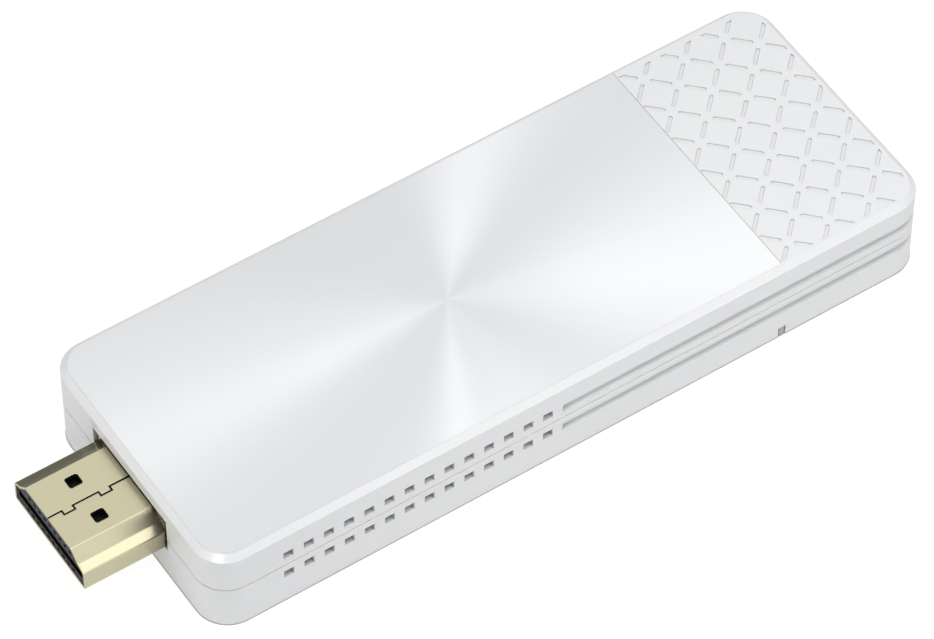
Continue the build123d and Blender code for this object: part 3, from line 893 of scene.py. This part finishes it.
@dataclass(frozen=True)
class ClearResin(Finish):
    """Clear moulded resin with a little haze inside."""

    colour: Colour = (0.85, 0.88, 0.9)
    relief: float = 0.003
    roughness: float = 0.08
    gloss_spread: float = 0.1
    passing: float = 0.6
    bending: float = 1.49
    haze_scale: float = 1.6

    def paint(self, graph: Graph) -> None:
        """Adds the nodes.

        Args:
            graph: the material's nodes.
        """
        haze = graph.noise(graph.place(), self.haze_scale)
        graph.surface(
            Base_Color=graph.blend(self.colour, WHITE, haze),
            Roughness=self.roughness + haze * self.gloss_spread,
            Transmission_Weight=self.passing,
            IOR=self.bending,
            Normal=graph.eased_normal(self.edge, haze, self.relief),
        )


class Finishes:
    """The finishes of this dongle."""

    # The casing's recess and gap colours are painted shade in its grooves, vents, slots and slits.
    casing = MouldedPlastic(
        "casing_satin", colour=(0.8, 0.8, 0.805), shade=(0.77, 0.77, 0.78), coat=0.4
    )
    # The rays are painted highlights: fans of sheen painted into the plate's colour.
    trim = SpunFinish(
        "trim_spun",
        edge=0.03,
        rays=(
            Ray(50.0, 26.0, 0.8, 9.0),
            Ray(170.0, 10.0, 0.45, 6.0),
            Ray(179.0, 70.0, 0.4, 16.0),
            Ray(241.0, 90.0, 0.5, 10.0),
            Ray(262.0, 8.0, 0.55, 20.0),
            Ray(337.0, 9.0, 0.85, 18.0),
        ),
    )
    # The plug's crease shade reaches 4 mm, so painted shade darkens it beside the casing wall.
    plug = SheetMetal(
        "plug_plating", edge=0.2, relief=0.0002, roughness=0.18, colour=(0.62, 0.58, 0.4),
        tarnish=(0.57, 0.53, 0.36), patch_share=0.1, crease_reach=4.0,
    )
    tinned = SheetMetal(
        "tinned_steel", roughness=0.35, colour=(0.6, 0.6, 0.59), tarnish=(0.45, 0.45, 0.44)
    )
    contact = SheetMetal(
        "contact_plating", edge=0.03, colour=(0.78, 0.56, 0.2), tarnish=(0.68, 0.46, 0.15)
    )
    screw = SheetMetal(
        "zinc_plate", roughness=0.3, colour=(0.5, 0.51, 0.53), tarnish=(0.38, 0.4, 0.42)
    )
    aluminium = SheetMetal(
        "rolled_aluminium", roughness=0.4, colour=(0.7, 0.71, 0.72), tarnish=(0.6, 0.61, 0.62)
    )
    wire = SheetMetal(
        "copper_wire", edge=0.02, colour=(0.75, 0.33, 0.15), tarnish=(0.6, 0.24, 0.1)
    )
    # The core's recess and gap colours are painted shade, near black, that blackens the plug's
    # slots and holes.
    core = MouldedPlastic(
        "plug_core", edge=0.03, roughness=0.5, colour=(0.044, 0.041, 0.044),
        shade=(0.037, 0.034, 0.037), shine=0.15, recess=(0.002, 0.0017, 0.0017),
        recess_reach=3.0, recess_range=(0.06, 0.34), gap=(0.001, 0.001, 0.001),
    )
    # The notch key is a mid grey, darker than the casing, painted as the shade in the notch.
    key = MouldedPlastic(
        "key_rubber", roughness=0.6, colour=(0.42, 0.42, 0.425), shade=(0.37, 0.37, 0.375)
    )
    button = MouldedPlastic("button_satin", colour=(0.79, 0.79, 0.8), shade=(0.75, 0.75, 0.76))
    board = SolderMask("board_mask", edge=0.05)
    chip = Grained("chip_resin", edge=0.05, roughness=0.5, gloss_spread=0.2)
    ferrite = Grained(
        "ferrite", 0.12, 0.01, 0.7, -0.1, (0.06, 0.06, 0.065), (0.025, 0.025, 0.027), 5.0,
        (0.05, 0.4), 0.7,
    )
    ceramic = replace(
        ferrite, name="ceramic", edge=0.06, roughness=0.5, colour=(0.42, 0.3, 0.18),
        grain=(0.33, 0.22, 0.12),
    )
    clear = ClearResin("light_guide", edge=0.08)
    lamp = ClearResin("lamp_resin", roughness=0.2, colour=(0.9, 0.85, 0.6), passing=0.3)
    pad = Grained(
        "thermal_pad", 0.06, 0.03, 0.75, 0.15, (0.3, 0.4, 0.46), (0.42, 0.5, 0.55), 4.0,
        (0.1, 0.6), cloud_scale=0.8, cloud_detail=2.0, cloudy=1.0,
    )
    film = replace(pad, name="adhesive_film", colour=(0.6, 0.6, 0.55), grain=(0.7, 0.7, 0.66))


def dress(finish: Finish, *nodes: str) -> None:
    """Gives CAD nodes a finish.

    Args:
        finish: the finish to put on.
        nodes: names of the nodes.
    """
    for name in nodes:
        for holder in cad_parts[name].material_slots:
            holder.material = finish.material()
        LOG.info("%s: %s", name, finish.name)


# Casing
@dataclass
class Casing:
    """The two shells and the trim plate."""

    shells: tuple[str, ...] = ("upper_shell", "lower_shell")

    def build(self) -> None:
        """Dresses the shells, the key and the plate."""
        dress(Finishes.casing, *self.shells)
        dress(Finishes.key, "notch_key")
        dress(Finishes.trim, "top_plate")
        dress(Finishes.film, "plate_adhesive")


# Display plug
@dataclass(frozen=True)
class Strips:
    """A row of contact strips: its node, how many, their path in X and Z, and sizes in mm."""

    node: str
    count: int
    path: tuple[Pair, ...]
    pitch: float = 1.0
    width: float = 0.4
    thickness: float = 0.15
    bend: float = 0.4

    def build(self) -> None:
        """Makes the row."""
        strip_row().fill(
            f"{self.node}_strips", self.node, "contact_metal", Finishes.contact,
            [(x, 0.0, z) for x, z in self.path], path=True, Width=self.width,
            Thickness=self.thickness, Bend=self.bend, Count=self.count, Pitch=self.pitch,
        )


@dataclass
class DisplayPlug:
    """The plug's shell, core and contacts."""

    contacts: tuple[Strips, ...] = (
        Strips("plug_upper_contacts", 9, (
            (-53.81, 7.665), (-52.628, 7.665), (-50.658, 6.86), (-47.112, 7.445), (-35.9, 7.445),
        )),
        Strips("plug_lower_contacts", 10, (
            (-53.81, 5.255), (-52.628, 5.255), (-50.658, 5.75), (-47.112, 5.405), (-39.3, 5.405),
            (-38.3, 6.295), (-35.9, 6.295),
        )),
    )

    def build(self) -> None:
        """Dresses the shells and the core, and makes the contacts."""
        dress(Finishes.plug, "plug_shell")
        dress(Finishes.tinned, "plug_back_shell")
        dress(Finishes.core, "plug_insulator")
        for row in self.contacts:
            row.build()


# Electronics
@dataclass(frozen=True)
class ScrewSize:
    """A self-tapping screw's sizes in mm."""

    diameter: float = 1.6
    length: float = 4.0
    head_diameter: float = 3.0
    head_height: float = 0.65
    thread_pitch: float = 0.6


@dataclass(frozen=True)
class DrumSize:
    """A wound drum core's sizes in mm."""

    side: float = 4.0
    flange: float = 0.4
    post: float = 2.4
    wire: float = 0.24
    turns: int = 4


@dataclass(frozen=True)
class ChipCapacitorSize:
    """A chip capacitor's sizes in mm."""

    length: float = 1.6
    width: float = 0.8
    cap: float = 0.35
    skin: float = 0.03
    body_corner: float = 0.05
    cap_corner: float = 0.08


@dataclass
class Electronics:
    """The board and all that stands on it."""

    screw: ScrewSize = ScrewSize()
    screw_places: tuple[Pair, ...] = ((-31.7, -10.78), (-31.7, 10.78), (3.0, -10.78))
    drum: DrumSize = DrumSize()
    drum_rows: tuple[float, ...] = (-5.2, 0.0, 5.2)
    capacitor: ChipCapacitorSize = ChipCapacitorSize()
    capacitor_rows: tuple[float, ...] = (-8.3, -6.6, -4.9, -3.2, 3.2, 4.9, 6.6, 8.3)

    def build(self) -> None:
        """Dresses the inner pieces and makes the fine ones."""
        self.dressed()
        self.screws()
        self.inductors()
        self.capacitors()

    def dressed(self) -> None:
        """Dresses what keeps its CAD shape."""
        dress(Finishes.board, "main_board", "radio_board")
        chips = ("processor", "memory_chips", "flash_chip", "power_chip", "surge_arrays")
        dress(Finishes.chip, *chips)
        dress(Finishes.tinned, "shield_frame", "shield_lid", "radio_can", "crystal")
        dress(Finishes.pad, "thermal_pad")
        dress(Finishes.aluminium, "heat_spreader")
        dress(Finishes.contact, "main_antenna", "second_antenna")

    def screws(self) -> None:
        """Makes the screws, with their heads on the board."""
        level = span("main_board")[1].z
        places = [(x, y, level) for x, y in self.screw_places]
        screw_group().fill(
            "screws", "board_screws", "screw_steel", Finishes.screw, places, **vars(self.screw)
        )

    def inductors(self) -> None:
        """Makes the drum cores under the board and the wire on them."""
        low, high = span("power_inductors")
        size, middle, height = self.drum, (low.x + high.x) / 2, high.z - low.z
        drum_group().fill(
            "drum_cores", "power_inductors", "ferrite", Finishes.ferrite,
            [(middle, y, low.z) for y in self.drum_rows], Side=size.side, Height=height,
            Flange=size.flange, Post=size.post,
        )
        wound = low.z + size.flange + size.wire / 2
        winding_group().fill(
            "drum_windings", "power_inductors", "contact_metal", Finishes.wire,
            [(middle, y, wound) for y in self.drum_rows], Radius=(size.post + size.wire) / 2,
            Height=height - 2 * size.flange - size.wire, Wire=size.wire, Turns=size.turns,
        )

    def capacitors(self) -> None:
        """Makes the capacitors' bodies and their tinned ends."""
        low, high = span("capacitors")
        size, middle = self.capacitor, (low.x + high.x) / 2
        inner, foot = size.width - 2 * size.skin, low.z + size.skin
        block_group().fill(
            "capacitor_bodies", "capacitors", "ceramic", Finishes.ceramic,
            [(middle, y, foot) for y in self.capacitor_rows],
            Length=size.length - 2 * size.skin, Width=inner, Height=inner,
            Corner=size.body_corner,
        )
        reach = (size.length - size.cap) / 2
        ends = [(middle + side * reach, y, low.z) for y in self.capacitor_rows for side in (-1, 1)]
        block_group().fill(
            "capacitor_ends", "capacitors", "tinned_steel", Finishes.tinned, ends,
            Length=size.cap, Width=size.width, Height=high.z - low.z, Corner=size.cap_corner,
        )


# Far end
@dataclass(frozen=True)
class Plunger:
    """An oblong piece that fills a hole in the end wall.

    half is half its length and half its height in mm, and steps lists where each of its rings
    stands along X and how far it is set out.
    """

    node: str
    half: Pair
    steps: tuple[Pair, ...]

    def build(self, finish: Finish, slot: str, body: Body) -> None:
        """Makes the piece.

        Args:
            finish: what it is made in.
            slot: not used.
            body: what it moves with.
        """
        low, high = span(self.node)
        centre = ((low.y + high.y) / 2, (low.z + high.z) / 2)
        rings = [oblong(x, centre, self.half, grow) for x, grow in self.steps]
        stand_in(stacked(f"{self.node}_face", rings, finish), self.node, body)


@dataclass
class FarEnd:
    """The power inlet, the reset button and the status light."""

    inlet_contacts: Strips = Strips(
        "power_inlet_contacts", 5, ((37.55, 6.37), (37.55, 5.52), (42.9, 5.52)), pitch=0.65,
        width=0.3, thickness=0.1, bend=0.15,
    )
    button: Plunger = Plunger("reset_button", (1.6, 0.9), (
        (42.38, 0.4), (42.43, 0.45), (43.03, 0.45), (43.08, 0.4), (43.08, 0.0), (44.35, 0.0),
        (44.46, -0.05), (44.5, -0.16), (44.45, -0.28), (44.34, -0.5), (44.3, -0.75),
    ))
    lens: Plunger = Plunger("light_pipe", (0.9, 0.5), (
        (41.6, -0.03), (41.63, 0.0), (42.4, 0.0), (42.4, 0.42), (42.43, 0.45), (43.07, 0.45),
        (43.1, 0.42), (43.1, 0.0), (44.4, 0.0), (44.51, -0.06), (44.57, -0.2), (44.6, -0.4),
    ))

    def build(self) -> None:
        """Dresses the inlet and the switch, and makes the button and the lens."""
        dress(Finishes.tinned, "power_inlet_shell", "switch_dome")
        dress(Finishes.core, "power_inlet_tongue", "switch_body")
        dress(Finishes.button, "switch_stem")
        dress(Finishes.lamp, "status_led")
        self.inlet_contacts.build()
        self.button.build(Finishes.button, "button", Body.BUTTON)
        self.lens.build(Finishes.clear, "light_guide", Body.DONGLE)


# Studio
def aim(thing: bpy.types.Object, place: Vector, direction: Vector) -> None:
    """Puts a lamp or a camera at a place in metres, facing a direction."""
    thing.location, thing.rotation_mode = place, "QUATERNION"
    thing.rotation_quaternion = direction.to_track_quat("-Z", "Y")


@dataclass(frozen=True)
class Lamp:
    """A square lamp: its place and its side in metres, and its power in watts."""

    name: str
    place: Point
    side: float
    power: float

    def build(self) -> None:
        """Hangs the lamp, aimed at the object, where no reflection shows it."""
        data = bpy.data.lights.new(self.name, "AREA")
        data.shape, data.size, data.energy = "SQUARE", self.side, self.power
        lamp = placed(self.name, data)
        lamp.visible_glossy = False
        aim(lamp, Vector(self.place), -Vector(self.place))


@dataclass(frozen=True)
class Card:
    """A flat card that is seen in reflections alone, and from one side.

    corners are two of its corners and then, in the same order, the other two, in mm. fade gives
    the heights between which the card fades to plain white, if it does.
    """

    name: str
    corners: tuple[Point, ...]
    level: float
    fade: Optional[Pair] = None

    def build(self) -> None:
        """Hangs the card."""
        mesh = bpy.data.meshes.new(self.name)
        mesh.from_pydata(metres(self.corners), [], [(0, 1, 3, 2)])
        material, graph = blank(self.name)
        tone: object = (self.level,) * 3
        if self.fade:
            low, high = self.fade
            height = graph.step("SeparateXYZ", Vector=graph.place())["Z"]
            tone = graph.blend(tone, WHITE, (height - low) / (high - low))
        behind = graph.step("NewGeometry")["Backfacing"]
        graph.mixed(behind, graph.step("Emission", Color=tone), graph.step("BsdfTransparent"))
        mesh.materials.append(material)
        card = placed(self.name, mesh)
        card.visible_camera = card.visible_diffuse = card.visible_shadow = False
        card.visible_transmission = card.visible_volume_scatter = False


@dataclass
class Studio:
    """Camera, floor, world and lamps, with angles in degrees and sizes in mm."""

    azimuth: float = -33.382
    elevation: float = 52.173
    distance: float = 577.759
    across: float = -2.76
    up: float = 2.145
    focal_pixels: float = 5445.134
    image_width: float = 934.0
    sensor: float = 36.0
    clip: Pair = (0.01, 10.0)
    ambient: float = 0.5
    ambient_tint: Colour = (0.975, 0.992, 1.0)
    floor_half: float = 3000.0
    floor_white: float = 0.75
    floor_glow: float = 1.2
    glow_share: float = 0.75
    mirror_share: float = 0.4
    # The contact reach, full share and tone set a painted shadow along the object's foot.
    contact_reach: float = 0.15
    contact_full: float = 0.3
    contact_tone: Colour = (0.5, 0.5, 0.5)
    lamps: tuple[Lamp, ...] = (
        Lamp("key", (0.03, -0.1, 0.2), 0.12, 0.255),
        Lamp("plug_side", (-0.95, 0.0, 0.25), 1.4, 5.4),
    )
    shelf: float = 2.5
    shelf_lift: float = 0.6
    shelf_gap: float = 1.1
    turned_foot: float = 0.3
    skin: float = 0.1
    wedge: tuple[Pair, ...] = ((-18.0, 7.5), (-18.0, 18.2), (-5.2, 7.5), (-5.2, 9.0))
    wedge_fade: Pair = (9.0, 17.0)
    ceiling: float = 300.0

    def build(self) -> None:
        """Makes all of it."""
        self.camera()
        self.world()
        self.floor()
        for piece in (*self.lamps, *self.plug_cards(), *self.ceiling_cards()):
            piece.build()
        bpy.context.scene.view_settings.view_transform = "Standard"

    def camera(self) -> None:
        """Puts the camera at the photograph's angle."""
        turn, lift = math.radians(self.azimuth), math.radians(self.elevation)
        right = Vector((math.cos(turn), math.sin(turn), 0.0))
        flat = math.cos(lift)
        back = Vector((math.sin(turn) * flat, -math.cos(turn) * flat, math.sin(lift)))
        data = bpy.data.cameras.new("camera")
        data.sensor_width = self.sensor
        data.lens = self.focal_pixels / self.image_width * self.sensor
        data.clip_start, data.clip_end = self.clip
        place = right * self.across + back.cross(right) * self.up + back * self.distance
        camera = placed("camera", data)
        aim(camera, place * MM, -back)
        bpy.context.scene.camera = camera

    def world(self) -> None:
        """Even light, with plain white where the world itself is seen or mirrored."""
        world = bpy.data.worlds.new("studio")
        world.use_nodes = True
        graph = Graph(world.node_tree)
        path = graph.step("LightPath")
        seen = path["Is Camera Ray"] + path["Is Glossy Ray"] + path["Is Transmission Ray"]
        white = seen.rise(0.0, 1.0)
        strength = white * (1.0 - self.ambient) + self.ambient
        colour = graph.blend(self.ambient_tint, WHITE, white)
        light = graph.step("Background", Color=colour, Strength=strength)
        graph.step("OutputWorld", Surface=light)
        bpy.context.scene.world = world

    def floor(self) -> None:
        """A pale floor that stays white to the eye, keeps the object's soft shadow, and has a
        painted contact shadow where the object meets it.
        """
        sides = (-self.floor_half, self.floor_half)
        mesh = bpy.data.meshes.new("floor")
        mesh.from_pydata(metres((x, y, 0.0) for y in sides for x in sides), [], [(0, 1, 3, 2)])
        material, graph = blank("floor_white")
        # Painted shadow: the floor turns grey and loses its glow in a thin line where the object
        # stands on it.
        contact = graph.hollow(self.contact_reach).rise(0.0, self.contact_full)
        colour = graph.blend((self.floor_white,) * 3, self.contact_tone, contact)
        matt = graph.step("BsdfDiffuse", Color=colour)
        path = graph.step("LightPath")
        straight = (path["Is Camera Ray"] + path["Is Transmission Ray"]).rise(0.0, 1.0)
        mirrored = path["Is Glossy Ray"] * (1.0 - straight)
        white = graph.step("Emission", Strength=self.floor_glow)
        share = (straight * self.glow_share + mirrored * self.mirror_share) * (1.0 - contact)
        graph.mixed(share, matt, white)
        mesh.materials.append(material)
        floor = placed("floor", mesh)

    def plug_cards(self) -> list[Card]:
        """Cards that the plug mirrors: two dark ones beyond it and a wedge on the casing's end.

        Returns:
            The cards.
        """
        low, high = span("plug_shell")
        end, shelf = span("upper_shell")[0].x, high.y + self.shelf
        gap, skin = end - self.shelf_gap, end - self.skin
        levels = (low.z + self.shelf_lift, high.z + self.shelf_lift)
        turn = ((gap, shelf), (skin, high.y + self.turned_foot))
        dark = tuple((x, shelf, z) for z in levels for x in (low.x, gap))
        turned = tuple((x, y, z) for z in levels for x, y in turn)
        wedge = tuple((skin, y, z) for y, z in self.wedge)
        return [
            Card("far_card", dark, 0.2),
            Card("turned_card", turned, 0.25),
            Card("near_card", wedge, 0.2, self.wedge_fade),
        ]

    def ceiling_cards(self) -> list[Card]:
        """Bright cards high above, for the plug's slope and the corners' highlights.

        Returns:
            The cards.
        """
        spreads = {
            "high_card": ((-190.0, -50.0), (160.0, -40.0), 1.75),
            "slope_card": ((-560.0, -300.0), (260.0, 0.0), 1.12),
            "corner_card": ((-350.0, -150.0), (-270.0, -470.0), 10.0),
        }
        return [
            Card(name, tuple((x, y, self.ceiling) for y in ys for x in xs), level)
            for name, (ys, xs, level) in spreads.items()
        ]


def main() -> None:
    """Builds the pieces in order."""
    logging.basicConfig(level=logging.INFO, format="%(name)s %(message)s")
    for part in (Casing(), DisplayPlug(), Electronics(), FarEnd(), Studio()):
        LOG.info("building %s", type(part).__name__)
        part.build()


if __name__ == "__main__":
    main()
